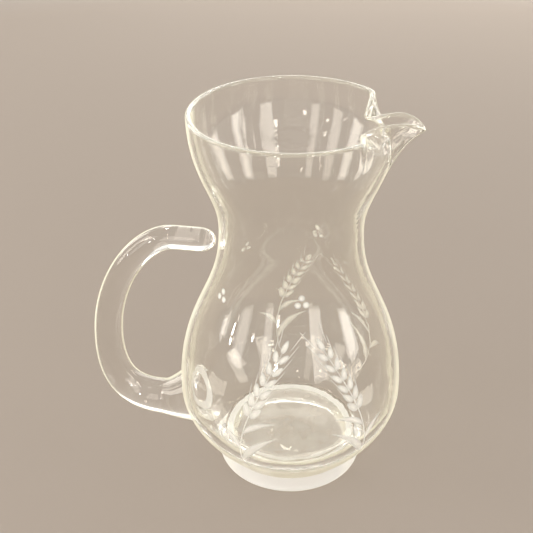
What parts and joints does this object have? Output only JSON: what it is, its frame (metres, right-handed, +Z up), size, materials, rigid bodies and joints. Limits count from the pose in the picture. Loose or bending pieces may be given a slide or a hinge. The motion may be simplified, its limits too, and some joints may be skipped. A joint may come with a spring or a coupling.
{
  "type": "glass cocktail pitcher",
  "caption": "Clear blown-glass cocktail pitcher with a round belly, waisted neck, pinched ice-guard pouring lip, applied foot ring and an open-ended rod handle.",
  "frame": {"origin": "centre of the foot ring's resting edge, on the axis of the bowl", "axes": "+Z up along the axis of the bowl, +X towards the pouring lip, -X towards the handle"},
  "size_m": [0.1606, 0.1112, 0.19],
  "materials": {
    "bowl_glass": "clear, fire polished, with a frosted wheel-cut design",
    "foot_glass": "clear, with a ground resting edge",
    "handle_glass": "clear, fire polished"
  },
  "bodies": {
    "root": {"body": "bowl_glass", "foot_ring": "foot_glass", "handle": "handle_glass"}
  },
  "joints": []
}
